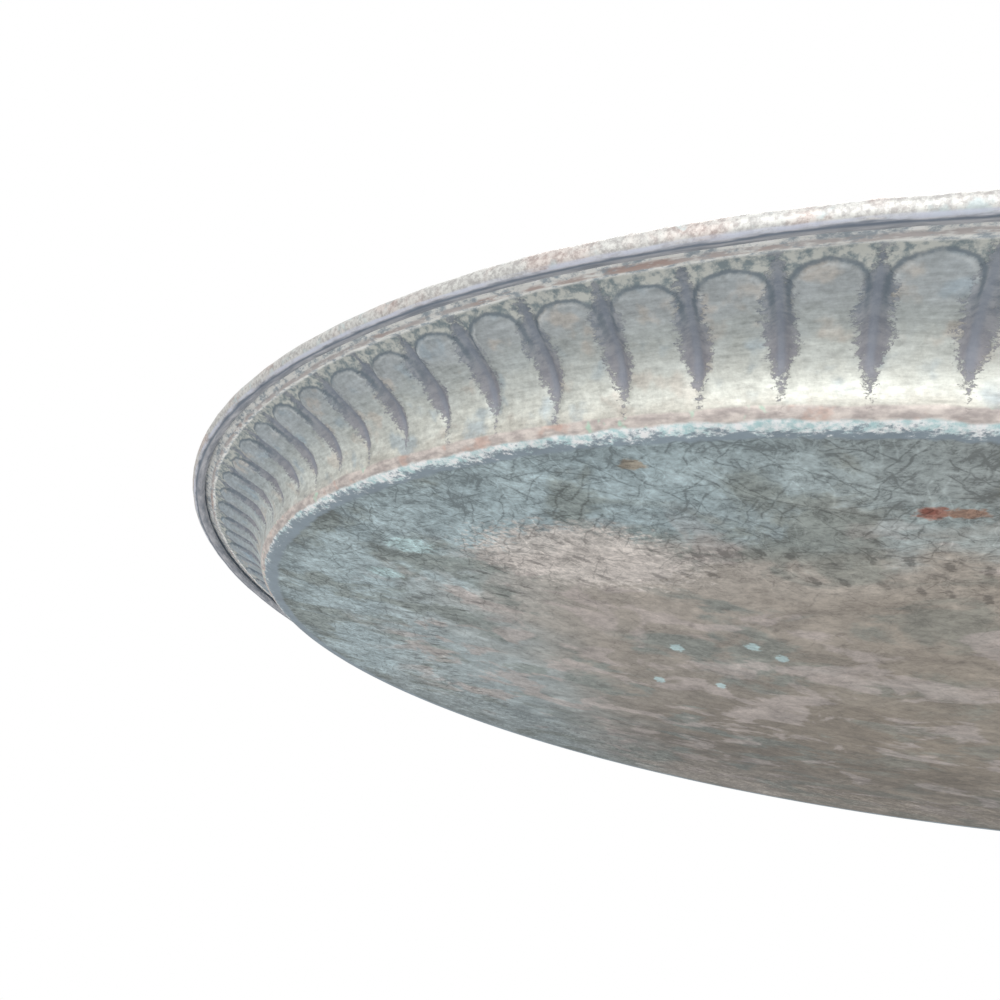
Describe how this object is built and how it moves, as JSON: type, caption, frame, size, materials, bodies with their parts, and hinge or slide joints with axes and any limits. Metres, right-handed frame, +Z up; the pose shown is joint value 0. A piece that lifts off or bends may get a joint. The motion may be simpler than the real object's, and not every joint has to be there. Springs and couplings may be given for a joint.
{
  "type": "tray",
  "caption": "Large round shallow tray with a flat base, a low fluted wall that flares to a narrow flange, and a rolled edge over a wire.",
  "frame": {"origin": "centre of the base's underside, where the tray rests", "axes": "+Z up along the tray's axis; X and Y lie in the base"},
  "size_m": [0.5997, 0.5998, 0.0207],
  "materials": {
    "tinned_copper": "hand-hammered copper under an old, worn and greyed layer of tin",
    "iron_wire": "plain drawn wire, dull"
  },
  "bodies": {
    "root": {"pan": "tinned_copper", "rim_wire": "iron_wire"}
  },
  "joints": []
}
